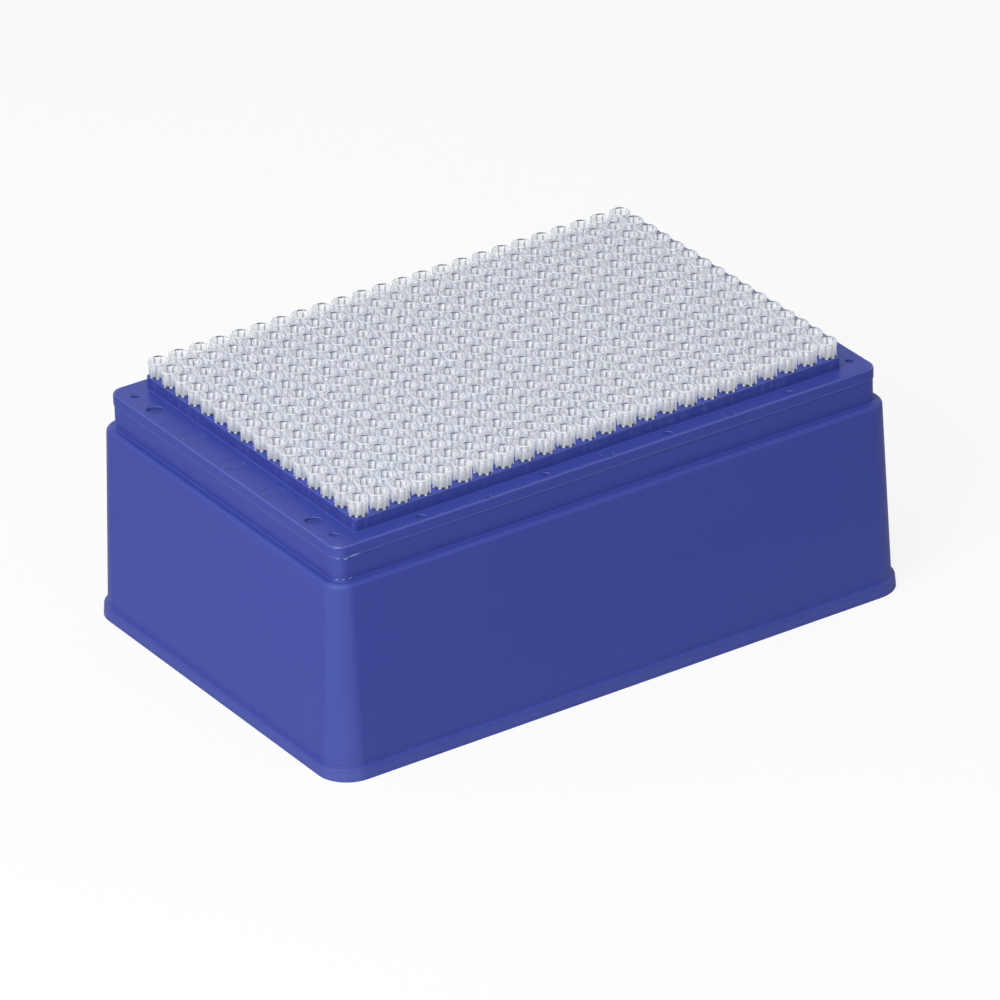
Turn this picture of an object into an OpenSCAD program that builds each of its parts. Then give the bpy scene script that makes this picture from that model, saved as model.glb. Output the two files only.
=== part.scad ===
// Rack of 384 pipette tips: a drafted, open-bottomed base, a perforated deck
// that closes it, and sixteen rows of ribbed tips that hang in the deck by
// the feet of their ribs.
//
// Frame: millimetres, +Z up, the foot stands on z = 0 and the origin is the
// centre of the footprint. The long side runs along X.
//
// The sizes build outwards from the field of tips: field, platform, ledge,
// neck, lid seat, drafted body, foot. With the values below the foot comes
// to the 127.76 x 85.48 mm of a standard plate.

/* [Tip field] */
// Tips along the long side
columns = 24; // [4:1:24]
// Tips along the short side
rows = 16; // [4:1:16]
// Distance between neighbouring tips
pitch = 4.5; // [4.4:0.05:6]

/* [Tip] */
// Outside diameter of the rim
rim_d = 4.1; // [3.95:0.01:4.3]
// Outside diameter at the lower end of the collar
collar_d = 3.94; // [3.85:0.01:4.05]
// Height of the plain collar under the rim
collar_h = 0.8; // [0.5:0.05:1.4]
// Rounding of the rim's outer edge
rim_round = 0.22; // [0.1:0.01:0.3]
// Diameter over the ribs
rib_d = 3.74; // [3.64:0.01:3.84]
// Number of ribs round the barrel
rib_count = 8; // [4:1:8]
// Radius of the flute between two ribs
flute_r = 0.6; // [0.4:0.01:0.62]
// Height of the rim above the feet of the ribs
rim_h = 3.25; // [2.5:0.05:5]
// Outside diameter of the shaft, which is also the root of the flutes
shaft_d = 3.24; // [3.16:0.01:3.3]
// Diameter of the mouth at the rim
mouth_d = 3.2; // [3.1:0.01:3.3]
// Depth of the mouth's lead-in
mouth_h = 1.05; // [0.6:0.05:2]
// Diameter of the socket below the lead-in
socket_d = 2.84; // [2.75:0.01:2.9]
// Diameter of the socket's floor
socket_end_d = 2.66; // [2.5:0.01:2.7]
// Depth of the socket below the rim
socket_l = 10.5; // [8:0.1:14]
// Length of the shoulder below the socket
shoulder_l = 2.2; // [1:0.1:4]
// Outside diameter under the shoulder
shank_d = 2.4; // [2:0.05:2.5]
// Wall of the shank under the shoulder
shank_wall = 0.24; // [0.15:0.01:0.3]
// Whole length of a tip
tip_l = 44; // [30:0.5:46]
// Outside diameter at the end
point_d = 0.82; // [0.7:0.01:1.2]
// Bore at the end
point_bore_d = 0.34; // [0.2:0.01:0.4]
// Seed of the angle at which each tip happens to stand
turn_seed = 384; // [1:1:999]

/* [Deck] */
// Gap round a tip in its hole
hole_clearance = 0.06; // [0.03:0.01:0.08]
// Thickness of the deck
deck_t = 1.6; // [1.2:0.1:2]
// Height of the raised platform above the ledge
platform_h = 2.7; // [2:0.1:4]
// Distance from the outer tips' axes to the platform's side
platform_margin = 1.8; // [1.7:0.05:2.2]
// Vertical corner radius of the platform
platform_corner_r = 0.5; // [0.3:0.1:0.8]
// Fillet where the platform meets the ledge
platform_fillet = 0.3; // [0.2:0.1:1]
// Rounding of the platform's top edge
platform_round = 0.2; // [0.1:0.05:0.4]
// Width of the ledge at the ends
end_ledge_w = 6.46; // [6:0.01:10]
// Width of the ledge along the sides
side_ledge_w = 3.32; // [3.3:0.01:8]
// Height of the deck's outer edge
deck_edge_h = 2.3; // [2.1:0.1:3]
// Rounding of the ledge's outer edge
deck_round = 0.5; // [0.2:0.1:0.8]
// Overhang of the deck past the neck
deck_overhang = 0.15; // [0:0.05:0.4]
// Depth of the skirt that locates the deck in the neck
skirt_h = 3; // [2:0.1:4]
// Thickness of that skirt
skirt_t = 1.1; // [0.8:0.1:1.4]
// Gap between the skirt and the neck
skirt_clearance = 0.1; // [0.05:0.01:0.3]
// Thickness of the stiffening ribs under the platform
deck_rib_t = 0.8; // [0.6:0.05:0.9]
// Tips between two stiffening ribs
deck_rib_step = 4; // [2:1:6]
// Wall of the platform, under its top
platform_wall = 1.6; // [1.2:0.1:1.7]

/* [Ledge marks] */
// Tips between two neighbouring marks
mark_step = 3; // [2:1:4]
// Distance of the marks at the ends from the platform's side
end_mark_in = 3.5; // [3.2:0.1:3.8]
// Diameter of the ejector discs
disc_d = 4.2; // [3:0.1:4.6]
// Diameter of the ejector discs along the narrow sides
side_disc_d = 2.8; // [2:0.1:2.8]
// Depth of the groove round an ejector disc
disc_groove_h = 0.2; // [0.05:0.01:0.25]
// Width of the groove round an ejector disc
disc_groove_w = 0.2; // [0.08:0.01:0.25]
// Diameter of the locating recesses
recess_d = 3.2; // [2.4:0.1:4]
// Depth of the locating recesses
recess_h = 0.4; // [0.3:0.1:1]
// Diameter of the small pin marks
pin_mark_d = 1.8; // [0.8:0.1:2]
// Depth of the small pin marks
pin_mark_h = 0.35; // [0.1:0.05:0.5]

/* [Base] */
// Height of the lid seat above the table
seat_h = 39.2; // [34:0.1:46]
// Width of the lid seat
seat_w = 1.7; // [1.4:0.05:3]
// Height of the neck above the lid seat
neck_h = 4.75; // [3.2:0.05:8]
// Corner radius of the neck
neck_corner_r = 2.45; // [2.3:0.05:5]
// Wall of the neck
neck_wall = 1.5; // [1.2:0.05:1.8]
// Wall of the body
wall = 1.8; // [1.4:0.1:2.2]
// Draft of the body, in degrees
draft = 2.25; // [0.5:0.05:3]
// Rounding of the body's upper edge
seat_round = 1; // [0.3:0.1:1.1]
// Fillet between the seat and the neck
neck_fillet = 0.3; // [0.2:0.1:0.6]
// Rounding of the neck's upper edge, which leaves a line under the deck
neck_round = 0.25; // [0.1:0.05:0.4]
// Height of the foot flange
foot_h = 2.5; // [2:0.1:4]
// Step from the body out to the foot flange's lower edge
foot_step = 0.88; // [0.86:0.01:1.6]
// How far the foot flange widens towards the table
foot_flare = 0.2; // [0:0.05:0.2]
// Rounding of the foot flange's upper edge
foot_round = 0.4; // [0.2:0.05:0.4]
// Fillet between the body and the foot flange
foot_fillet = 0.25; // [0.1:0.05:0.25]
// Thickness of the stiffening ribs inside the walls
wall_rib_t = 1; // [0.8:0.1:1.4]
// How far those ribs stand out from the upper wall
wall_rib_w = 1.2; // [0.6:0.1:1.2]
// Tips between two of those ribs
wall_rib_step = 6; // [4:1:8]

/* [Hidden] */
$fn = 48;
// Overlap of bodies that are joined
eps = 0.01;
// How far a cut runs past the face that it opens
past = 1;

// Field and platform
field_x = (columns - 1) * pitch / 2;
field_y = (rows - 1) * pitch / 2;
platform_x = field_x + platform_margin;
platform_y = field_y + platform_margin;

// Heights
neck_z = seat_h + neck_h;
ledge_z = neck_z + deck_edge_h;
platform_z = ledge_z + platform_h;

// Every outline of the rack turns its corners about the same four upright
// lines, so each one is a radius about them.
deck_x = platform_x + end_ledge_w;
deck_y = platform_y + side_ledge_w;
neck_r = neck_corner_r;
deck_r = neck_r + deck_overhang;
corner_x = deck_x - deck_r;
corner_y = deck_y - deck_r;
neck_in_r = neck_r - neck_wall;
seat_r = neck_r + seat_w;
body_r = seat_r + (seat_h - foot_h) * tan(draft);
foot_r = body_r + foot_step;
seat_in_r = seat_r - wall;
skirt_r = neck_in_r - skirt_clearance;

// Inner wall of the body
seat_under_z = seat_h - wall;
foot_under_z = foot_h - wall;

// Radius of the body's inner wall at a height
function inner_r(z) = seat_in_r + (seat_h - z) * tan(draft);

// Tip, standing on the feet of its ribs at height 0
rib_pitch_deg = 360 / rib_count;
rib_r = rib_d / 2;
shaft_r = shaft_d / 2;
socket_r = socket_d / 2;
hole_r = shaft_r + hole_clearance;
collar_z = rim_h - collar_h;
mouth_z = rim_h - mouth_h;
socket_z = rim_h - socket_l;
shoulder_z = socket_z - shoulder_l;
point_z = rim_h - tip_l;
turns = rands(0, rib_pitch_deg, columns * rows, turn_seed);

// The barrel is a turned sleeve with a fluted ring round it, and the two run
// into each other within the wall of the socket.
sleeve_r = (socket_r + shaft_r) / 2;
ring_in_r = (socket_r + sleeve_r) / 2;

// Marks: their spacing, places, and how many steps fit on either side of the
// middle
mark_gap = mark_step * pitch;
end_mark_x = platform_x + end_mark_in;
side_mark_y = platform_y + side_ledge_w / 2;
end_marks = max(1, floor(field_y / mark_gap));
side_marks = floor(field_x / mark_gap);

// Ribs inside the walls, spaced and counted likewise
wall_rib_gap = wall_rib_step * pitch;
long_wall_ribs = floor(field_x / wall_rib_gap);
short_wall_ribs = floor(field_y / wall_rib_gap + 1 / 2);

COLUMN_NODES = [for (i = [1 : columns]) str("tip_column_", i < 10 ? "0" : "", i)];

function unit(v) = v / norm(v);

// The little three-sided piece between a corner p and an arc of radius r that
// touches both edges, which leave p towards a and b. Taken away it rounds an
// edge, and added it fills a corner.
module corner_piece(p, a, b, r) {
    da = unit(a - p);
    db = unit(b - p);
    half = acos(da * db) / 2;
    reach = r / tan(half);
    centre = p + unit(da + db) * r / sin(half);
    difference() {
        polygon([p, p + da * reach, centre, p + db * reach]);
        translate(centre) circle(r);
    }
}

// Carries an upright section round the rack. The section's X is the distance
// outwards from the corner lines (cx, cy), and its Y is the height.
module around(cx, cy) {
    for (sx = [0, 1], sy = [0, 1])
        mirror([sx, 0, 0]) mirror([0, sy, 0])
            translate([cx, cy, 0]) rotate_extrude(angle = 90) children();
    for (s = [0, 1]) {
        mirror([s, 0, 0]) translate([cx, cy, 0]) rotate([90, 0, 0])
            linear_extrude(2 * cy) children();
        mirror([0, s, 0]) translate([-cx, cy, 0]) rotate([90, 0, 90])
            linear_extrude(2 * cx) children();
    }
}

// A box centred on the origin's Z axis, from z0 to z1
module centred_box(half_x, half_y, z0, z1) {
    translate([-half_x, -half_y, z0]) cube([2 * half_x, 2 * half_y, z1 - z0]);
}

// ---- base -----------------------------------------------------------------

module base_section() {
    foot_top = [foot_r - foot_flare, foot_h];
    body_foot = [body_r, foot_h];
    seat_edge = [seat_r, seat_h];
    neck_foot = [neck_r, seat_h];
    neck_top = [neck_r, neck_z];
    difference() {
        polygon([
            [foot_r - wall, 0], [foot_r, 0], foot_top, body_foot, seat_edge,
            neck_foot, neck_top, [neck_in_r, neck_z],
            [neck_in_r, seat_under_z], [inner_r(seat_under_z), seat_under_z],
            [inner_r(foot_under_z), foot_under_z], [foot_r - wall, foot_under_z]
        ]);
        corner_piece(foot_top, [foot_r, 0], body_foot, foot_round);
        corner_piece(seat_edge, body_foot, neck_foot, seat_round);
        corner_piece(neck_top, neck_foot, [neck_in_r, neck_z], neck_round);
    }
    corner_piece(body_foot, foot_top, seat_edge, foot_fillet);
    corner_piece(neck_foot, seat_edge, neck_top, neck_fillet);
}

// Upright ribs on the inside of the long and short walls
module wall_ribs() {
    z0 = foot_h + wall;
    rib = [
        [inner_r(z0) + wall / 2, z0], [inner_r(z0) - eps, z0],
        [seat_in_r - wall_rib_w, seat_under_z + eps],
        [inner_r(seat_under_z) + wall / 2, seat_under_z + eps]
    ];
    for (k = [-long_wall_ribs : long_wall_ribs], s = [0, 1])
        mirror([0, s, 0]) translate([k * wall_rib_gap - wall_rib_t / 2, corner_y, 0])
            rotate([90, 0, 90]) linear_extrude(wall_rib_t) polygon(rib);
    for (k = [1 : short_wall_ribs], t = [0, 1], s = [0, 1])
        mirror([0, t, 0]) mirror([s, 0, 0])
            translate([corner_x, (k - 1 / 2) * wall_rib_gap + wall_rib_t / 2, 0])
                rotate([90, 0, 0]) linear_extrude(wall_rib_t) polygon(rib);
}

module base() {
    color([0.17, 0.20, 0.52]) {
        around(corner_x, corner_y) base_section();
        wall_ribs();
    }
}

// ---- deck -----------------------------------------------------------------

module deck_edge_section() {
    edge = [deck_r, ledge_z];
    difference() {
        translate([0, ledge_z - deck_t]) square([deck_r, deck_t]);
        corner_piece(edge, [0, ledge_z], [deck_r, neck_z], deck_round);
    }
    translate([neck_in_r, neck_z]) square([deck_r - neck_in_r, deck_edge_h - deck_t + eps]);
}

module platform_section() {
    top = [platform_corner_r, platform_z];
    foot = [platform_corner_r, ledge_z];
    difference() {
        translate([0, ledge_z - deck_t]) square([platform_corner_r, platform_h + deck_t]);
        corner_piece(top, [0, platform_z], foot, platform_round);
    }
    corner_piece(foot, top, foot + [past, 0], platform_fillet);
}

// Positions of the tips
module at_tips() {
    for (i = [0 : columns - 1], j = [0 : rows - 1])
        translate([i * pitch - field_x, j * pitch - field_y, 0]) children();
}

module ejector_disc(d) {
    translate([0, 0, ledge_z - disc_groove_h]) difference() {
        cylinder(h = 2 * disc_groove_h, d = d);
        translate([0, 0, -eps])
            cylinder(h = 2 * disc_groove_h + 2 * eps, d = d - 2 * disc_groove_w);
    }
}

module blind_mark(d, h) {
    translate([0, 0, ledge_z - h]) cylinder(h = h + past, d = d);
}

// What the mould leaves on the ledge. Each end has a row of discs between two
// locating recesses and two pin marks, and along each side discs and pin
// marks take turns.
module ledge_marks() {
    for (s = [-1, 1]) {
        for (k = [1 - end_marks : end_marks - 1])
            translate([s * end_mark_x, k * mark_gap, 0]) ejector_disc(disc_d);
        for (k = [-1, 1]) {
            translate([s * end_mark_x, k * end_marks * mark_gap, 0])
                blind_mark(recess_d, recess_h);
            translate([s * end_mark_x, k * field_y, 0]) blind_mark(pin_mark_d, pin_mark_h);
        }
        for (k = [-side_marks : side_marks])
            translate([k * mark_gap, s * side_mark_y, 0])
                if (k % 2 == 0) ejector_disc(side_disc_d);
                else blind_mark(pin_mark_d, pin_mark_h);
    }
}

// Ribs between the tips, under the platform
module deck_ribs() {
    z0 = ledge_z - deck_t;
    z1 = platform_z - deck_t + eps;
    for (i = [deck_rib_step : deck_rib_step : columns - 1])
        translate([i * pitch - field_x - pitch / 2, 0, 0])
            centred_box(deck_rib_t / 2, platform_y - eps, z0, z1);
    for (j = [deck_rib_step : deck_rib_step : rows - 1])
        translate([0, j * pitch - field_y - pitch / 2, 0])
            centred_box(platform_x - eps, deck_rib_t / 2, z0, z1);
}

// The skirt that drops inside the neck
module deck_skirt() {
    z0 = neck_z - skirt_h;
    z1 = ledge_z - deck_t + eps;
    difference() {
        union() {
            around(corner_x, corner_y) translate([0, z0]) square([skirt_r, z1 - z0]);
            centred_box(corner_x, corner_y, z0, z1);
        }
        centred_box(corner_x + skirt_r - skirt_t, corner_y + skirt_r - skirt_t,
                    z0 - past, z1 + past);
    }
}

module deck() {
    under_z = ledge_z - deck_t;
    color([0.19, 0.22, 0.56]) {
        difference() {
            union() {
                around(corner_x, corner_y) deck_edge_section();
                centred_box(corner_x, corner_y, under_z, ledge_z);
                around(platform_x - platform_corner_r, platform_y - platform_corner_r)
                    platform_section();
                centred_box(platform_x - platform_corner_r, platform_y - platform_corner_r,
                            under_z, platform_z);
            }
            difference() {
                centred_box(platform_x - platform_wall, platform_y - platform_wall,
                            under_z - past, platform_z - deck_t);
                deck_ribs();
            }
            at_tips() translate([0, 0, under_z - past])
                cylinder(h = platform_z - under_z + 2 * past, r = hole_r);
            ledge_marks();
        }
        deck_skirt();
    }
}

// ---- tips -----------------------------------------------------------------

// Half section of all but the fluted barrel
module tip_section() {
    rim_r = rim_d / 2;
    edge = [rim_r, rim_h];
    collar_foot = [collar_d / 2, collar_z];
    difference() {
        polygon([
            [mouth_d / 2, rim_h], edge, collar_foot, [sleeve_r, collar_z],
            [sleeve_r, 0], [shaft_r, 0], [shaft_r, socket_z],
            [shank_d / 2, shoulder_z], [point_d / 2, point_z],
            [point_bore_d / 2, point_z], [shank_d / 2 - shank_wall, shoulder_z],
            [socket_end_d / 2, socket_z], [socket_r, mouth_z]
        ]);
        corner_piece(edge, [0, rim_h], collar_foot, rim_round);
    }
}

// The barrel's cross-section: ribs left standing between round flutes
module barrel_outline() {
    difference() {
        circle(rib_r);
        circle(ring_in_r);
        for (k = [0 : rib_count - 1])
            rotate(k * rib_pitch_deg) translate([shaft_r + flute_r, 0]) circle(flute_r);
    }
}

module tip() {
    rotate_extrude() tip_section();
    linear_extrude(collar_z) barrel_outline();
}

module tip_column(i) {
    color([0.86, 0.88, 0.92])
        for (j = [0 : rows - 1])
            translate([i * pitch - field_x, j * pitch - field_y, platform_z])
                rotate([0, 0, turns[i * rows + j]]) tip();
}

base();
deck();
for (i = [0 : columns - 1])
    tip_column(i);
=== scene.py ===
"""Looks of a rack of clear pipette tips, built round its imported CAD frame.

Everything is in metres, in the frame of the CAD model: the rack stands on
z = 0, its long side runs along X, and the tips point down.
"""

import logging
import math
import random
from dataclasses import dataclass, field
from enum import Enum
from typing import Any, Mapping, Optional, Sequence, Union

import bmesh
import bpy
from mathutils import Matrix, Vector


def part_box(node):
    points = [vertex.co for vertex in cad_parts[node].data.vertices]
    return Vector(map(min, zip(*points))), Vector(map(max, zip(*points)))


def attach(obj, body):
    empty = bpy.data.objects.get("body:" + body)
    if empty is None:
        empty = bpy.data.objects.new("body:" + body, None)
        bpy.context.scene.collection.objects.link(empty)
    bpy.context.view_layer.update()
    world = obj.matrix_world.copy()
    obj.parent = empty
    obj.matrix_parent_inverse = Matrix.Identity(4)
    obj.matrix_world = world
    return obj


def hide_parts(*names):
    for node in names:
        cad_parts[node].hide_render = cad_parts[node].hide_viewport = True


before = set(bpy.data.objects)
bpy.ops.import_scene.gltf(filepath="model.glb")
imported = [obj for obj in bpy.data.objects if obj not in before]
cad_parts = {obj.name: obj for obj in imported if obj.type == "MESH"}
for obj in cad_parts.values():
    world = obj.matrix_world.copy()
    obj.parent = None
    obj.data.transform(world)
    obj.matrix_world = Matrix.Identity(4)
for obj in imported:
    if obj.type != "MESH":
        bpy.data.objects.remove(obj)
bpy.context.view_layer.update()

log = logging.getLogger("tip_rack")

MM = 1e-3
WHITE = (1.0, 1.0, 1.0)

# The rack's levels, and half sizes of its deck: to the middle of a corner's
# rounding, and to the edge of the ledge's flat.
SEAT = 39.2 * MM
SEAM = 43.95 * MM
LEDGE = 46.25 * MM
PLATFORM = 48.95 * MM
CORNER_AXIS = (57.41 * MM, 36.27 * MM)
LEDGE_FLAT = (59.4 * MM, 38.3 * MM)

Number = Union[int, float]
Colour = tuple[float, float, float]
Place = tuple[float, float, float]


class Trait(Enum):
    """A number on each of a tip's vertices that its plastic reads."""

    HAZE_AND_GLINT = "haze_and_glint"
    SHADE = "shade"
    LINE = "line"
    STREAK = "streak"


class Ray(Enum):
    """The kinds of ray that a surface or the room may answer to."""

    CAMERA = "Is Camera Ray"
    GLOSSY = "Is Glossy Ray"
    SHADOW = "Is Shadow Ray"
    TRANSMISSION = "Is Transmission Ray"


class Axis(Enum):
    """The rack's axes: along its long side, along its narrow side, and up."""

    X = "X"
    Y = "Y"
    Z = "Z"


class RibEdge(Enum):
    """The upright edges of a rib and of the flute beside it, in order."""

    RIB_START = 0
    RIB_END = 1
    FLUTE_START = 2
    FLUTE_END = 3

    @property
    def in_flute(self) -> bool:
        """Whether the edge bounds the flute and not the rib."""
        return self in (RibEdge.FLUTE_START, RibEdge.FLUTE_END)


class Value:
    """A number carried by a shader socket, with Python's arithmetic."""

    def __init__(self, graph: "Graph", socket: bpy.types.NodeSocket) -> None:
        """Wraps an output socket of a node of the graph."""
        self.graph = graph
        self.socket = socket

    def _maths(self, operation: str, *values: Union["Value", Number]) -> "Value":
        """The result of a Math node on the values."""
        settings = {"operation": operation}
        return self.graph.add("ShaderNodeMath", settings, dict(enumerate(values)))

    def __add__(self, other: Union["Value", Number]) -> "Value":
        """self + other."""
        return self._maths("ADD", self, other)

    __radd__ = __add__

    def __sub__(self, other: Union["Value", Number]) -> "Value":
        """self - other."""
        return self._maths("SUBTRACT", self, other)

    def __rsub__(self, other: Number) -> "Value":
        """other - self."""
        return self._maths("SUBTRACT", other, self)

    def __mul__(self, other: Union["Value", Number]) -> "Value":
        """self * other."""
        return self._maths("MULTIPLY", self, other)

    __rmul__ = __mul__

    def clamped(self) -> "Value":
        """self, held between 0 and 1."""
        return self._maths("MAXIMUM", self._maths("MINIMUM", self, 1.0), 0.0)

    def size(self) -> "Value":
        """self without its sign."""
        return self._maths("ABSOLUTE", self)

    def bigger(self, other: Union["Value", Number]) -> "Value":
        """The bigger of self and other."""
        return self._maths("MAXIMUM", self, other)


class Graph:
    """The node tree of a material or world, added to node by node.

    Attributes:
        COLOUR_MIX_INPUTS: A Mix node's inputs for the factor and two colours.
        COLOUR_MIX_OUTPUT: Its output for the mixed colour.
    """

    COLOUR_MIX_INPUTS = (0, 6, 7)
    COLOUR_MIX_OUTPUT = 2

    def __init__(self, tree: bpy.types.NodeTree) -> None:
        """Empties a node tree and starts on it."""
        tree.nodes.clear()
        self.tree = tree

    def add(
        self,
        kind: str,
        settings: Optional[Mapping[str, Any]] = None,
        sockets: Optional[Mapping[Union[str, int], Any]] = None,
        out: Union[str, int] = 0,
    ) -> Value:
        """Adds a node.

        Args:
            kind: The node's type, such as ShaderNodeMath.
            settings: Attributes set before the sockets. The key "stops" holds
                a colour ramp's (position, grey) pairs.
            sockets: Values, or Value objects to link, by input name or index.
            out: The output that the result stands for.

        Returns:
            The chosen output.
        """
        node = self.tree.nodes.new(kind)
        for name, setting in (settings or {}).items():
            if name == "stops":
                self._fill_ramp(node.color_ramp, setting)
            else:
                setattr(node, name, setting)
        for name, value in (sockets or {}).items():
            target = node.inputs[name]
            if isinstance(value, Value):
                self.tree.links.new(value.socket, target)
            elif isinstance(value, tuple) and target.type == "RGBA":
                target.default_value = (*value, 1.0)
            else:
                target.default_value = value
        return Value(self, node.outputs[out] if node.outputs else None)

    @staticmethod
    def _fill_ramp(
        ramp: bpy.types.ColorRamp, stops: Sequence[tuple[float, float]]
    ) -> None:
        """Gives a colour ramp its grey stops.

        Args:
            ramp: The ramp.
            stops: Pairs of position and grey, two or more.
        """
        while len(ramp.elements) < len(stops):
            ramp.elements.new(1.0)
        for element, (position, grey) in zip(ramp.elements, stops):
            element.position = position
            element.color = (grey, grey, grey, 1.0)

    def vectors(self, operation: str, *values: Union[Value, Place]) -> Value:
        """Adds a Vector Math node.

        Args:
            operation: Blender's name of the operation.
            values: The node's inputs, in order.

        Returns:
            The vector that results, or the number for LENGTH.
        """
        return self.add(
            "ShaderNodeVectorMath",
            {"operation": operation},
            dict(enumerate(values)),
            "Value" if operation == "LENGTH" else "Vector",
        )

    def noise(self, place: Value, per_metre: float, detail: float) -> Value:
        """Noise between 0 and 1.

        Args:
            place: Coordinates in metres.
            per_metre: Lumps to a metre.
            detail: Octaves.

        Returns:
            The noise.
        """
        return self.add(
            "ShaderNodeTexNoise",
            {"noise_dimensions": "3D"},
            {"Vector": place, "Scale": per_metre, "Detail": detail},
        )

    def ramp(self, value: Value, *stops: tuple[float, float]) -> Value:
        """The value taken through (position, result) stops."""
        return self.add("ShaderNodeValToRGB", {"stops": stops}, {"Fac": value})

    def blend(
        self, factor: Value, low: Union[Value, Colour], high: Union[Value, Colour]
    ) -> Value:
        """A colour between two others.

        Args:
            factor: 0 for low and 1 for high.
            low: The colour at 0.
            high: The colour at 1.

        Returns:
            The mixed colour.
        """
        inputs = dict(zip(self.COLOUR_MIX_INPUTS, (factor, low, high)))
        settings = {"data_type": "RGBA"}
        return self.add("ShaderNodeMix", settings, inputs, self.COLOUR_MIX_OUTPUT)

    def mix_shaders(
        self, factor: Union[Value, Number], low: Value, high: Value
    ) -> Value:
        """The mix of shader low, at a factor of 0, and shader high, at 1."""
        return self.add("ShaderNodeMixShader", sockets={0: factor, 1: low, 2: high})

    def ray(self, ray: Ray) -> Value:
        """1 on rays of a kind and 0 on others."""
        return self.add("ShaderNodeLightPath", out=ray.value)

    def trait(self, trait: Trait) -> Value:
        """A number that the mesh carries."""
        settings = {"attribute_name": trait.value}
        return self.add("ShaderNodeAttribute", settings, out="Fac")

    def object_place(self) -> Value:
        """Object coordinates, which are the rack's own metres."""
        return self.add("ShaderNodeTexCoord", out="Object")

    def along(self, place: Value, axis: Axis) -> Value:
        """A place's coordinate along an axis."""
        sockets = {"Vector": place}
        return self.add("ShaderNodeSeparateXYZ", sockets=sockets, out=axis.value)


def new_material(name: str) -> tuple[bpy.types.Material, Graph]:
    """Makes an empty material.

    Args:
        name: Its name.

    Returns:
        The material and its graph.
    """
    material = bpy.data.materials.new(name)
    material.use_nodes = True
    return material, Graph(material.node_tree)


@dataclass(frozen=True)
class Band:
    """A band of heights where the plastic's colour changes, such as a painted highlight
    along an edge.

    Attributes:
        low: Its lower limit, in metres.
        high: Its upper limit.
        strength: How different it looks at its middle, from 0 to 1.
    """

    low: float
    high: float
    strength: float

    def cover(self, height: Value) -> Value:
        """How much of the band lies at a height.

        Args:
            height: The height.

        Returns:
            The band's strength at its middle, falling to 0 at its limits.
        """
        middle, half = (self.low + self.high) / 2.0, (self.high - self.low) / 2.0
        nearness = (1.0 - (height - middle).size() * (1.0 / half)).clamped()
        return nearness * self.strength


@dataclass(frozen=True)
class PaleSpot:
    """A small pale spot, for whitened flash at the mould's parting line and for painted
    highlights in a fillet.

    Attributes:
        centre: Its middle, in millimetres.
        reach: Its half sizes along the axes, in millimetres.
    """

    centre: Place
    reach: Place

    def cover(self, place: Value) -> Value:
        """How much of the spot lies at a place.

        Args:
            place: The place.

        Returns:
            1 in its inner half, falling to 0 at its limits.
        """
        centre, reach = (
            tuple(side * MM for side in sides) for sides in (self.centre, self.reach)
        )
        offset = place.graph.vectors("SUBTRACT", place, centre)
        shares = place.graph.vectors("DIVIDE", offset, reach)
        length = place.graph.vectors("LENGTH", shares)
        return ((1.0 - length) * 2.0).clamped()


@dataclass(frozen=True)
class Speckle:
    """A random pattern in the plastic.

    Attributes:
        per_metre: Lumps to a metre.
        detail: Octaves.
        stops: Pairs of noise and strength, none where they are the same.
    """

    per_metre: float
    detail: float
    stops: tuple[tuple[float, float], ...] = ()

    def cover(self, place: Value) -> Value:
        """How strong the pattern is at a place."""
        noise = place.graph.noise(place, self.per_metre, self.detail)
        return place.graph.ramp(noise, *self.stops) if self.stops else noise


# Painted highlights where light catches the edges of the foot, the seat, the ledge
# and the platform; along the seam a paler line, partly painted highlight and partly
# the seam's pale flash; and painted light on the lower walls, lighter towards the
# bottom.
PAINTED_EDGE_LIGHT = (
    Band(-0.4 * MM, 2.6 * MM, 0.2),
    Band(-30.0 * MM, 22.0 * MM, 0.12),
    Band(SEAT - 0.8 * MM, SEAT - 0.05 * MM, 0.12),
    Band(SEAM - 0.15 * MM, SEAM + 0.25 * MM, 0.75),
    Band(LEDGE - 0.3 * MM, LEDGE - 0.01 * MM, 0.7),
    Band(PLATFORM - 0.35 * MM, PLATFORM + 0.01 * MM, 0.8),
)

# Pale spots at the front corner: three of whitened flash at the seam, and three painted
# highlights in the fillet at the foot of the neck.
CORNER_FLASH_AND_GLINTS = (
    PaleSpot((-59.2, -38.2, 43.9), (0.36, 0.36, 0.26)),
    PaleSpot((-57.8, -38.84, 43.7), (0.6, 0.6, 0.18)),
    PaleSpot((-56.1, -38.87, 43.95), (1.5, 0.6, 0.26)),
    PaleSpot((-59.4, -37.9, 39.62), (0.5, 0.5, 0.12)),
    PaleSpot((-58.4, -38.6, 39.58), (0.5, 0.5, 0.1)),
    PaleSpot((-57.0, -38.8, 39.6), (0.6, 0.5, 0.12)),
)


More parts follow.
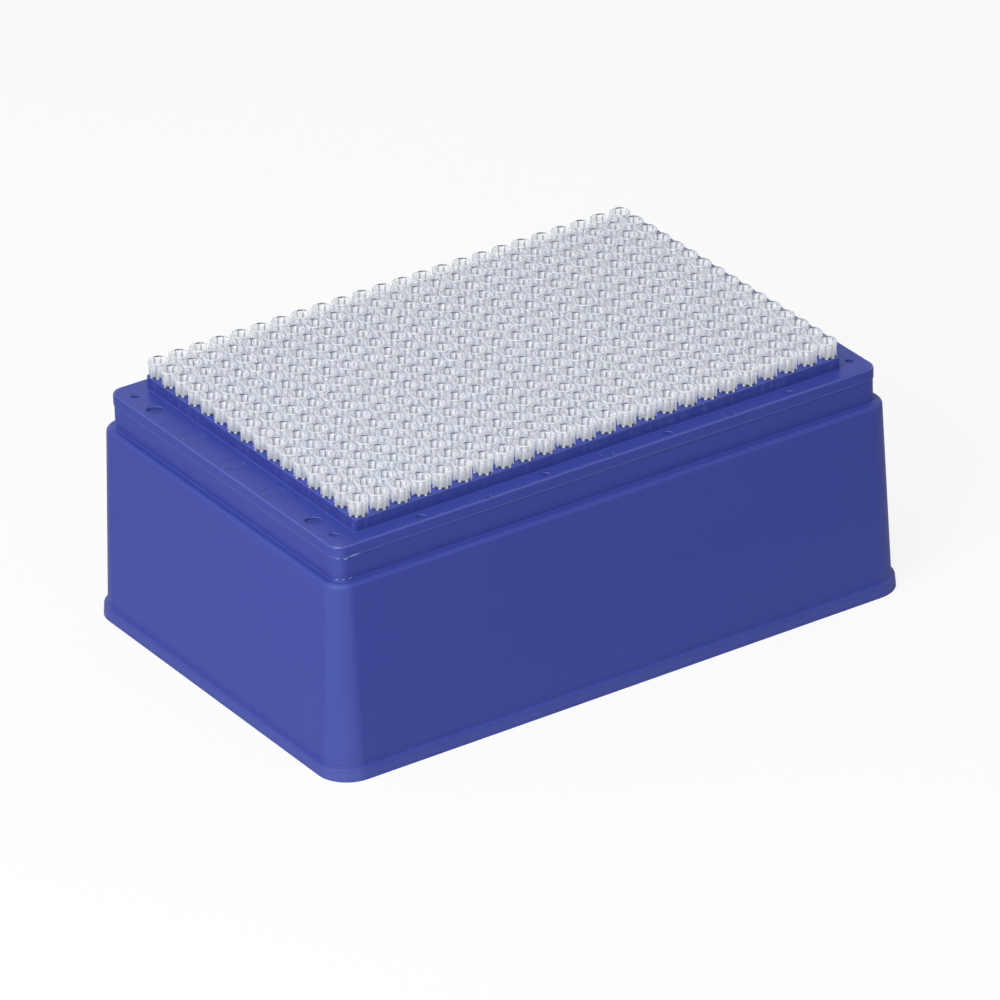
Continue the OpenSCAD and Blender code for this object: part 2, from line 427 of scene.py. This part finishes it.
@dataclass(frozen=True)
class MouldedPlastic:
    """Opaque polypropylene, satin from the mould, with painted highlights and sheen at
    its edges and corners and painted shade in its marks.

    Attributes:
        name: The material's name.
        colour: Its colour where the pigment lies even.
        cloud: Its colour where the pigment lies a little thinner.
        highlight_and_wear: Its paler colour for the painted highlights and sheen at its
            edges and corners, for its streaks and for its scuffs.
        flash_and_highlight: The pale colour of whitened flash, of painted highlights in
            the fillet at the foot of the neck and of the painted highlight on the rim
            of each mark.
        recess_shade: The colour of the painted shade at the bottom of a mark, where
            little light falls.
        bands: Where highlights and light are painted along its edges and lower walls.
        pale_spots: Its pale spots of whitened flash and painted highlights.
        clouds: Where the pigment lies thinner.
        scuffs: Where it is scuffed.
        texture: The fine grain of its surface.
        streaks: Paler upright streaks on the platform's side.
        corner_sheen: How strong the painted sheen on its upright corners is.
        rubbed_scuff: How pale its scuffs are.
        streak_heights: Heights where the streaks show, and how clear they are.
        streak_stretch: Lumps of a streak upright for one across.
        recess_shade_heights: Heights of the bottoms of the marks in the ledge, and how
            strong their painted shade is.
        rim_highlights: Heights of the rim of each mark in the ledge, and how strong its
            painted highlight is.
        fade: Over how far past a corner's axis the painted corner sheen comes in.
        ledge_fade: Over how far past the ledge's edge its marks go out.
        roughness: Roughness of the mould's polish.
        rougher: How much rougher it is in its clouds and in its scuffs.
        gloss: Level of its highlights, a half being that of most plastics.
        grain: Height of the fine grain, in metres.
    """

    name: str
    colour: Colour = (0.042, 0.062, 0.32)
    cloud: Colour = (0.048, 0.068, 0.335)
    highlight_and_wear: Colour = (0.12, 0.15, 0.42)
    flash_and_highlight: Colour = (0.24, 0.37, 0.62)
    recess_shade: Colour = (0.0, 0.0, 0.05)
    bands: tuple[Band, ...] = PAINTED_EDGE_LIGHT
    pale_spots: tuple[PaleSpot, ...] = CORNER_FLASH_AND_GLINTS
    clouds: Speckle = Speckle(24.0, 3.0)
    scuffs: Speckle = Speckle(520.0, 1.0, ((0.74, 0.0), (0.8, 1.0)))
    texture: Speckle = Speckle(3800.0, 2.0)
    streaks: Speckle = Speckle(900.0, 2.0, ((0.5, 0.0), (0.75, 0.6)))
    corner_sheen: float = 0.2
    rubbed_scuff: float = 0.05
    streak_heights: Band = Band(LEDGE, PLATFORM, 1.0)
    streak_stretch: float = 0.04
    recess_shade_heights: Band = Band(LEDGE - 0.75 * MM, LEDGE - 0.3 * MM, 0.5)
    rim_highlights: Band = Band(LEDGE - 0.27 * MM, LEDGE - 0.03 * MM, 0.8)
    fade: float = 1.5 * MM
    ledge_fade: float = 0.1 * MM
    roughness: float = 0.3
    rougher: tuple[float, float] = (0.05, 0.1)
    gloss: float = 0.12
    grain: float = 2.5e-6

    def make(self) -> bpy.types.Material:
        """Builds the material.

        Returns:
            The material.
        """
        material, graph = new_material(self.name)
        place = graph.object_place()
        clouds, scuffs = self.clouds.cover(place), self.scuffs.cover(place)
        relief = {"Distance": self.grain, "Height": self.texture.cover(place)}
        bump = graph.add("ShaderNodeBump", sockets={"Strength": 1.0, **relief})
        rougher = clouds * self.rougher[0] + scuffs * self.rougher[1]
        shader = graph.add(
            "ShaderNodeBsdfPrincipled",
            sockets={
                "Base Color": self._shade(place, clouds, scuffs),
                "Roughness": self.roughness + rougher,
                "Specular IOR Level": self.gloss,
                "Normal": bump,
            },
        )
        graph.add("ShaderNodeOutputMaterial", sockets={"Surface": shader})
        return material

    def _shade(self, place: Value, clouds: Value, scuffs: Value) -> Value:
        """The plastic's colour, with its scuffs and whitened flash, and its painted
        highlights, sheen and shade.

        Args:
            place: Where on the rack.
            clouds: How thin the pigment lies.
            scuffs: Where it is scuffed.

        Returns:
            The colour.
        """
        graph = place.graph
        height = graph.along(place, Axis.Z)
        off_ledge = self._past(place, LEDGE_FLAT[0], Axis.X).bigger(
            self._past(place, LEDGE_FLAT[1], Axis.Y)
        )
        on_ledge = 1.0 - (off_ledge * (self.fade / self.ledge_fade)).clamped()
        # Painted highlights, light and corner sheen, with the streaks and the scuffs.
        highlight_and_wear_share = self._highlights_and_streaks(place, height) + scuffs * self.rubbed_scuff
        # Whitened flash and painted highlights at the corner, with painted highlights
        # on the rim of each mark.
        flash_and_highlight_share = sum(
            (spot.cover(place) for spot in self.pale_spots),
            start=self.rim_highlights.cover(height) * on_ledge,
        )
        colour = graph.blend(clouds, self.colour, self.cloud)
        # Painted shade at the bottoms of the marks in the ledge.
        colour = graph.blend(self.recess_shade_heights.cover(height) * on_ledge, colour, self.recess_shade)
        colour = graph.blend(highlight_and_wear_share.clamped(), colour, self.highlight_and_wear)
        return graph.blend(flash_and_highlight_share.clamped(), colour, self.flash_and_highlight)

    def _highlights_and_streaks(self, place: Value, height: Value) -> Value:
        """How pale the plastic is from its painted highlights, light and corner sheen,
        and from its streaks.

        Args:
            place: Where on the rack.
            height: The place's height.

        Returns:
            0 where nothing is painted paler, 1 and more where the painted highlights
            are strongest.
        """
        upright = (1.0, 1.0, self.streak_stretch)
        streaks = self.streaks.cover(place.graph.vectors("MULTIPLY", place, upright))
        # Painted sheen on the upright corners.
        corner = self._past(place, CORNER_AXIS[0], Axis.X) * self._past(
            place, CORNER_AXIS[1], Axis.Y
        )
        return sum(
            (band.cover(height) for band in self.bands),
            start=streaks * self.streak_heights.cover(height) + corner * self.corner_sheen,
        )

    def _past(self, place: Value, start: float, axis: Axis) -> Value:
        """0 up to a distance from the middle, rising to 1 past it over the fade."""
        distance = place.graph.along(place, axis).size()
        return ((distance - start) * (1.0 / self.fade)).clamped()


@dataclass(frozen=True)
class ClearPlastic:
    """Natural polypropylene of a thin moulding: clear with a milky cast.

    The wall bends what is seen through it and lets the lamps through. It turns
    milky where it is seen edge on, and where the mesh says that it is thick, as
    at a rib; the same milkiness paints highlights on the ribs' feet and beside
    each streak. Painted shade darkens it where its shade says so, as in the gap
    under a flute, and painted dark lines show where its line or streak marks a
    sharp turn or a rib behind the wall that is seen square on.

    Attributes:
        name: The material's name.
        tint: The tint that it gives to what shows through it.
        milk: Its colour where it scatters light.
        dark: The colour of its painted shade and painted dark lines.
        roughness: Roughness of its surface.
        blur: How much it blurs what is seen through it.
        bend: Its index of refraction.
        coat: Strength, roughness and index of refraction of its gloss.
        through: The share of the light it scatters that goes on through it.
        least: Milkiness of a thin wall seen square on.
        edge_on: How much milkier it is seen edge on.
        passed: The share of a lamp's light that one surface lets through.
        line_turn: How far from square on a painted dark line shows, whole and at all.
        streak_turn: How far from square on a painted streak shows, whole and at all.
    """

    name: str
    tint: Colour = (0.97, 0.98, 1.0)
    milk: Colour = (0.965, 0.99, 1.0)
    dark: Colour = (0.07, 0.08, 0.13)
    roughness: float = 0.08
    blur: float = 0.12
    bend: float = 1.49
    coat: tuple[float, float, float] = (1.0, 0.03, 1.5)
    through: float = 0.5
    least: float = 0.27
    edge_on: float = 0.5
    passed: float = 0.99
    line_turn: tuple[float, float] = (0.06, 0.12)
    streak_turn: tuple[float, float] = (0.2, 0.45)

    def make(self) -> bpy.types.Material:
        """Builds the material.

        Returns:
            The material.
        """
        material, graph = new_material(self.name)
        facing = graph.add(
            "ShaderNodeLayerWeight", sockets={"Blend": 0.5}, out="Facing"
        )
        # Painted dark lines, shown only where the wall is seen square on.
        line, streak = (
            graph.trait(trait) * graph.ramp(facing, (turn[0], 1.0), (turn[1], 0.0))
            for trait, turn in (
                (Trait.LINE, self.line_turn),
                (Trait.STREAK, self.streak_turn),
            )
        )
        # Milkiness, which also carries the painted highlights on the ribs' feet and
        # beside each streak.
        milk_and_glint_share = facing * facing * self.edge_on + graph.trait(Trait.HAZE_AND_GLINT) + self.least
        # Painted shade and painted dark lines.
        painted_dark_share = graph.trait(Trait.SHADE).bigger(line).bigger(streak)
        clear, milky = self._clear(graph), self._milky(graph)
        wall = graph.mix_shaders(milk_and_glint_share.clamped(), clear, milky)
        wall = graph.mix_shaders(painted_dark_share, wall, self._dark(graph))
        open_to_lamps = graph.add(
            "ShaderNodeBsdfTransparent", sockets={"Color": (self.passed,) * 3}
        )
        wall = graph.mix_shaders(graph.ray(Ray.SHADOW), wall, open_to_lamps)
        graph.add("ShaderNodeOutputMaterial", sockets={"Surface": wall})
        return material

    @property
    def _gloss(self) -> dict[str, float]:
        """The sockets of the gloss."""
        return dict(zip(("Coat Weight", "Coat Roughness", "Coat IOR"), self.coat))

    def _milky(self, graph: Graph) -> Value:
        """The wall where it scatters light, some of it onwards.

        Args:
            graph: The material's graph.

        Returns:
            The shader.
        """
        surface = {"Base Color": self.milk, "Roughness": self.roughness, **self._gloss}
        back = graph.add("ShaderNodeBsdfPrincipled", sockets=surface)
        onwards = graph.add("ShaderNodeBsdfTranslucent", sockets={"Color": self.milk})
        return graph.mix_shaders(self.through, back, onwards)

    def _clear(self, graph: Graph) -> Value:
        """The wall where it is seen through.

        Args:
            graph: The material's graph.

        Returns:
            The shader.
        """
        surface = {"Base Color": self.tint, "Roughness": self.blur, **self._gloss}
        surface.update({"IOR": self.bend, "Transmission Weight": 1.0})
        return graph.add("ShaderNodeBsdfPrincipled", sockets=surface)

    def _dark(self, graph: Graph) -> Value:
        """The wall where shade and dark lines are painted on it."""
        surface = {"Base Color": self.dark, "Roughness": self.roughness}
        return graph.add("ShaderNodeBsdfPrincipled", sockets=surface)


@dataclass(frozen=True)
class Lamp:
    """A soft box.

    Attributes:
        name: The lamp's name.
        place: Where it hangs.
        size: Its width and height.
        power: Its power in watts.
    """

    name: str
    place: Place
    size: tuple[float, float]
    power: float

    def hang(self, aim: Vector) -> None:
        """Adds the lamp to the scene.

        Args:
            aim: The point that it shines at.
        """
        data = bpy.data.lights.new(self.name, "AREA")
        data.shape = "RECTANGLE"
        data.size, data.size_y = self.size
        data.energy = self.power
        lamp = bpy.data.objects.new(self.name, data)
        lamp.location = self.place
        lamp.rotation_euler = (aim - lamp.location).to_track_quat("-Z", "Y").to_euler()
        bpy.context.collection.objects.link(lamp)
        log.info("lamp %s: %.1f W", self.name, self.power)


@dataclass
class Studio:
    """The pale room round the rack: floor, sky, lamps and camera.

    Attributes:
        aim: The point that the camera and lamps look at.
        azimuth: The camera's bearing in degrees, 0 being square to the long side.
        elevation: The camera's height over the horizon, in degrees.
        roll: The camera's tilt about its own axis, in degrees.
        distance: From the camera to the aim.
        lens: The camera's focal length in millimetres.
        sensor: Width of the camera's sensor in millimetres.
        sight: How far the camera sees.
        sky: Brightness of the room where it lights the rack.
        floor_size: Width and depth of the floor.
        floor_colour: The floor's colour where it lights the rack.
        floor_glow: How far the floor, where it is looked at, is plain white.
        sheen: The floor's colour in the sheen of the rack's sides.
        see_through: How many clear walls a lamp's light may pass.
        lamps: The soft boxes.
    """

    aim: Vector = field(default_factory=lambda: Vector((-0.00663, -0.01122, 0.02767)))
    azimuth: float = -33.01
    elevation: float = 27.96
    roll: float = -1.75
    distance: float = 1.675
    lens: float = 326.1
    sensor: float = 36.0
    sight: float = 20.0
    sky: float = 0.3
    floor_size: float = 12.0
    floor_colour: Colour = (0.93, 0.93, 0.93)
    floor_glow: float = 0.85
    sheen: Colour = (0.55, 0.55, 0.55)
    see_through: int = 24
    lamps: tuple[Lamp, ...] = (
        Lamp("side", (-1.3, -0.2, 0.9), (0.9, 0.9), 2.4),
        Lamp("key", (-0.58, -0.32, 0.4), (0.4, 0.45), 2.7),
        Lamp("top", (-0.25, -0.2, 1.0), (0.65, 0.65), 4.2),
        Lamp("back", (0.2, 1.2, 0.9), (0.9, 0.9), 1.0),
    )

    def build(self) -> None:
        """Builds the whole room."""
        self._make_sky()
        self._lay_floor()
        for lamp in self.lamps:
            lamp.hang(self.aim)
        self._place_camera()
        bpy.context.scene.cycles.transparent_max_bounces = self.see_through

    @staticmethod
    def _seen(graph: Graph) -> Value:
        """1 where the room is looked at, straight or through clear plastic."""
        return graph.ray(Ray.CAMERA).bigger(graph.ray(Ray.TRANSMISSION))

    def _make_sky(self) -> None:
        """Lights the room evenly, and shows white to the camera and in gloss."""
        world = bpy.data.worlds.new("room")
        world.use_nodes = True
        bpy.context.scene.world = world
        graph = Graph(world.node_tree)
        white = self._seen(graph).bigger(graph.ray(Ray.GLOSSY))
        strength = self.sky + white * (1.0 - self.sky)
        light = graph.add(
            "ShaderNodeBackground", sockets={"Color": WHITE, "Strength": strength}
        )
        graph.add("ShaderNodeOutputWorld", sockets={"Surface": light})

    def _lay_floor(self) -> None:
        """Lays the pale floor that the rack stands on."""
        material, graph = new_material("floor")
        colour = graph.blend(graph.ray(Ray.GLOSSY), self.floor_colour, self.sheen)
        matt = graph.add("ShaderNodeBsdfDiffuse", sockets={"Color": colour})
        white = graph.add(
            "ShaderNodeEmission", sockets={"Color": WHITE, "Strength": 1.0}
        )
        lit = graph.mix_shaders(self._seen(graph) * self.floor_glow, matt, white)
        graph.add("ShaderNodeOutputMaterial", sockets={"Surface": lit})
        bpy.ops.mesh.primitive_plane_add(size=self.floor_size, location=(0.0, 0.0, 0.0))
        floor = bpy.context.object
        floor.name = "floor"
        floor.data.materials.append(material)
        log.info("floor")

    def _place_camera(self) -> None:
        """Sets up the camera and makes it the scene's."""
        turn, lift = math.radians(self.azimuth), math.radians(self.elevation)
        back = Vector(
            (
                math.sin(turn) * math.cos(lift),
                -math.cos(turn) * math.cos(lift),
                math.sin(lift),
            )
        )
        data = bpy.data.cameras.new("camera")
        data.lens = self.lens
        data.sensor_width = self.sensor
        data.clip_end = self.sight
        camera = bpy.data.objects.new("camera", data)
        camera.matrix_world = (
            Matrix.Translation(self.aim + back * self.distance)
            @ back.to_track_quat("Z", "Y").to_matrix().to_4x4()
            @ Matrix.Rotation(math.radians(self.roll), 4, "Z")
        )
        bpy.context.collection.objects.link(camera)
        bpy.context.scene.camera = camera
        log.info("camera")


@dataclass
class Housing:
    """The two blue mouldings that carry the tips, shaped by the CAD frame.

    Attributes:
        nodes: Their nodes in the frame.
    """

    nodes: tuple[str, ...] = ("base", "deck")

    def dress(self, material: bpy.types.Material) -> None:
        """Gives every moulding its finish.

        Args:
            material: The finish.
        """
        for name in self.nodes:
            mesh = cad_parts[name].data
            mesh.materials.clear()
            mesh.materials.append(material)
            log.info("%s: %d faces", name, len(mesh.polygons))


@dataclass(frozen=True)
class Ring:
    """One ring of a tip's outline, in millimetres from the feet of the ribs.

    Attributes:
        height: Its height.
        rib: Its radius at the ribs.
        flute: Its radius between the ribs, where that is another.
        haze_and_glint: How milky the plastic is, at the ribs if the ring has flutes; at
            the ribs' feet it is a painted highlight.
        shade: How much painted shade darkens it, at the flutes if the ring has any.
        line: How strong the painted dark line at its sharp turn is.
        streak: How strongly the ribs behind the wall show as painted dark lines, each
            with a painted highlight beside it.
    """

    height: float
    rib: float
    flute: Optional[float] = None
    haze_and_glint: float = 0.0
    shade: float = 0.0
    line: float = 0.0
    streak: float = 0.0

    def radius(self, edge: RibEdge) -> float:
        """The ring's radius at an edge of a rib or flute, in metres."""
        fluted = self.flute is not None and edge.in_flute
        return (self.flute if fluted else self.rib) * MM

    def traits(self, edge: RibEdge) -> dict[Trait, float]:
        """The numbers that the plastic reads at an edge of a rib or flute.

        Args:
            edge: The edge.

        Returns:
            Each trait's number.
        """
        traits = {
            Trait.HAZE_AND_GLINT: self.haze_and_glint,
            Trait.SHADE: self.shade,
            Trait.LINE: self.line,
            Trait.STREAK: self.streak if edge is RibEdge.RIB_START else 0.0,
        }
        if self.flute is not None:
            traits[Trait.HAZE_AND_GLINT if edge.in_flute else Trait.SHADE] = 0.0
        # A streak also paints a highlight, as milkiness, on the edges beside its dark
        # line.
        elif edge in (RibEdge.RIB_END, RibEdge.FLUTE_START):
            traits[Trait.HAZE_AND_GLINT] += self.streak
        return traits


@dataclass
class TipField:
    """All the tips, sixteen to a column, each turned as it happened to drop in.

    Attributes:
        rows: Tips in a column.
        ribs: Ribs round a barrel.
        bearings: Where a rib's and its flute's edges lie, in degrees from the
            rib's middle, in the order of RibEdge.
        foot_height: Height of the platform that the ribs stand on.
        spread: The most that a tip is turned, in degrees.
        seed: Seed of the turns.
        crease: The least angle at which an edge looks sharp, in degrees.
        weld: How near two vertices are made one.
    """

    rows: int = 16
    ribs: int = 8
    bearings: tuple[float, ...] = (-4.5, 4.5, 14.0, 31.0)
    foot_height: float = PLATFORM
    spread: float = 11.0
    seed: int = 384
    crease: float = 40.0
    weld: float = 1e-3 * MM

    @staticmethod
    def outline() -> list[Ring]:
        """The closed half outline of a tip.

        Returns:
            Its rings, up the outside and down the bore.
        """
        return [
            Ring(-40.75, 0.41),
            Ring(-9.45, 1.2),
            Ring(-7.25, 1.6),
            # Painted shadow in the gaps under the flutes at the feet, and painted
            # highlights on the ribs' feet.
            Ring(-0.1, 1.6, shade=1.0),
            Ring(0.0, 1.76, 1.6, haze_and_glint=0.9, shade=1.0),
            Ring(0.08, 1.87, 1.6, haze_and_glint=0.9, shade=1.0),
            Ring(0.34, 1.87, 1.6, haze_and_glint=0.9, shade=1.0),
            Ring(0.42, 1.87, 1.6, haze_and_glint=0.2, shade=0.5),
            # Painted dark and light lines of the ribs seen through the wall.
            Ring(0.46, 1.87, 1.7, haze_and_glint=0.3, shade=0.1, streak=0.45),
            Ring(2.2, 1.87, 1.7, haze_and_glint=0.3, shade=0.06, streak=0.45),
            # Painted grey bands at the top of the ribs and below the rim.
            Ring(2.45, 1.955, shade=0.1),
            Ring(2.55, 1.97),
            Ring(2.85, 2.01),
            Ring(3.0, 2.03, shade=0.16),
            Ring(3.12, 2.01, shade=0.16),
            Ring(3.16, 2.0, haze_and_glint=0.1),
            Ring(3.24, 1.9),
            Ring(3.25, 1.76),
            # A painted dark line at the mouth's sharp turn.
            Ring(3.25, 1.74, line=1.0),
            Ring(3.07, 1.64, line=1.0),
            # Painted dark lines and highlights of the ribs seen through the bore.
            Ring(3.04, 1.62, haze_and_glint=-0.1, streak=0.6),
            Ring(2.6, 1.43, haze_and_glint=-0.1, streak=0.75),
            Ring(2.5, 1.42, haze_and_glint=0.2, streak=0.75),
            Ring(2.4, 1.42, haze_and_glint=-0.1, streak=0.75),
            # Painted shade on the bore's lower wall.
            Ring(1.4, 1.41, shade=0.15, streak=0.4),
            Ring(-0.3, 1.4, shade=0.3),
            Ring(-0.7, 1.4, haze_and_glint=0.7),
            Ring(-7.25, 1.33, haze_and_glint=0.7),
            Ring(-9.45, 0.96, haze_and_glint=0.3),
            Ring(-40.75, 0.17),
        ]

    def mould_tip(self) -> bpy.types.Mesh:
        """Builds one tip at the origin, standing on the feet of its ribs.

        Returns:
            The tip's mesh.
        """
        bm = bmesh.new()
        ring_of = bm.verts.layers.int.new("ring")
        rings = self.outline()
        verts = [bm.verts.new((ring.rib * MM, 0.0, ring.height * MM)) for ring in rings]
        for number, vert in enumerate(verts):
            vert[ring_of] = number
        edges = [bm.edges.new(pair) for pair in zip(verts, verts[1:] + verts[:1])]
        bmesh.ops.spin(
            bm,
            geom=verts + edges,
            cent=(0.0, 0.0, 0.0),
            axis=(0.0, 0.0, 1.0),
            angle=math.tau,
            steps=self.ribs * len(RibEdge),
            use_merge=True,
        )
        layers = {trait: bm.verts.layers.float.new(trait.value) for trait in Trait}
        for vert in bm.verts:
            ring = rings[vert[ring_of]]
            edge = self._flute(vert, ring)
            for trait, number in ring.traits(edge).items():
                vert[layers[trait]] = number
        bmesh.ops.remove_doubles(bm, verts=bm.verts, dist=self.weld)
        bmesh.ops.recalc_face_normals(bm, faces=bm.faces)
        self._smooth(bm)
        mesh = bpy.data.meshes.new("tip")
        bm.to_mesh(mesh)
        bm.free()
        return mesh

    def _flute(self, vert: bmesh.types.BMVert, ring: Ring) -> RibEdge:
        """Moves a vertex of the plain revolve to its place on a rib or in a flute.

        Args:
            vert: The vertex.
            ring: The ring that it lies on.

        Returns:
            The edge that it lies on.
        """
        steps = self.ribs * len(RibEdge)
        step = round(math.atan2(vert.co.y, vert.co.x) / math.tau * steps) % steps
        rib, part = divmod(step, len(RibEdge))
        edge = RibEdge(part)
        bearing = math.radians(rib * 360.0 / self.ribs + self.bearings[part])
        vert.co.x = ring.radius(edge) * math.cos(bearing)
        vert.co.y = ring.radius(edge) * math.sin(bearing)
        return edge

    def _smooth(self, bm: bmesh.types.BMesh) -> None:
        """Shades a tip smooth, apart from its sharp edges.

        Args:
            bm: The tip.
        """
        for face in bm.faces:
            face.smooth = True
        for edge in bm.edges:
            edge.smooth = edge.calc_face_angle(0.0) < math.radians(self.crease)

    def build(self, material: bpy.types.Material) -> None:
        """Stands a tip in every hole, a piece to each column.

        Args:
            material: The tips' finish.
        """
        tip = self.mould_tip()
        turns = random.Random(self.seed)
        columns = (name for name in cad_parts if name.startswith("tip_column"))
        for name in sorted(columns):
            piece = self._fill_column(name, tip, turns)
            piece.data.materials.append(material)
            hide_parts(name)
            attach(piece, "root")
            log.info("%s: %d tips", piece.name, self.rows)
        bpy.data.meshes.remove(tip)

    def _fill_column(
        self, name: str, tip: bpy.types.Mesh, turns: random.Random
    ) -> bpy.types.Object:
        """Stands a column's tips in their holes.

        Args:
            name: The column's node in the CAD frame.
            tip: A tip at the origin.
            turns: Where the tips' turns are drawn from.

        Returns:
            The column's piece.
        """
        low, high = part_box(name)
        radius = (high[0] - low[0]) / 2.0
        first, last = low[1] + radius, high[1] - radius
        bm = bmesh.new()
        for row in range(self.rows):
            turn = math.radians(turns.uniform(-self.spread, self.spread))
            y = first + (last - first) * row / (self.rows - 1)
            placed = tip.copy()
            placed.transform(
                Matrix.Translation((low[0] + radius, y, self.foot_height))
                @ Matrix.Rotation(turn, 4, "Z")
            )
            bm.from_mesh(placed)
            bpy.data.meshes.remove(placed)
        piece_name = name.replace("column", "row")
        mesh = bpy.data.meshes.new(piece_name)
        bm.to_mesh(mesh)
        bm.free()
        piece = bpy.data.objects.new(piece_name, mesh)
        bpy.context.collection.objects.link(piece)
        return piece


def main() -> None:
    """Builds the room and dresses the rack."""
    logging.basicConfig(level=logging.INFO, format="%(message)s")
    bpy.context.scene.view_settings.view_transform = "Standard"
    Studio().build()
    Housing().dress(MouldedPlastic("base_plastic").make())
    TipField().build(ClearPlastic("tip_plastic").make())


if __name__ == "__main__":
    main()
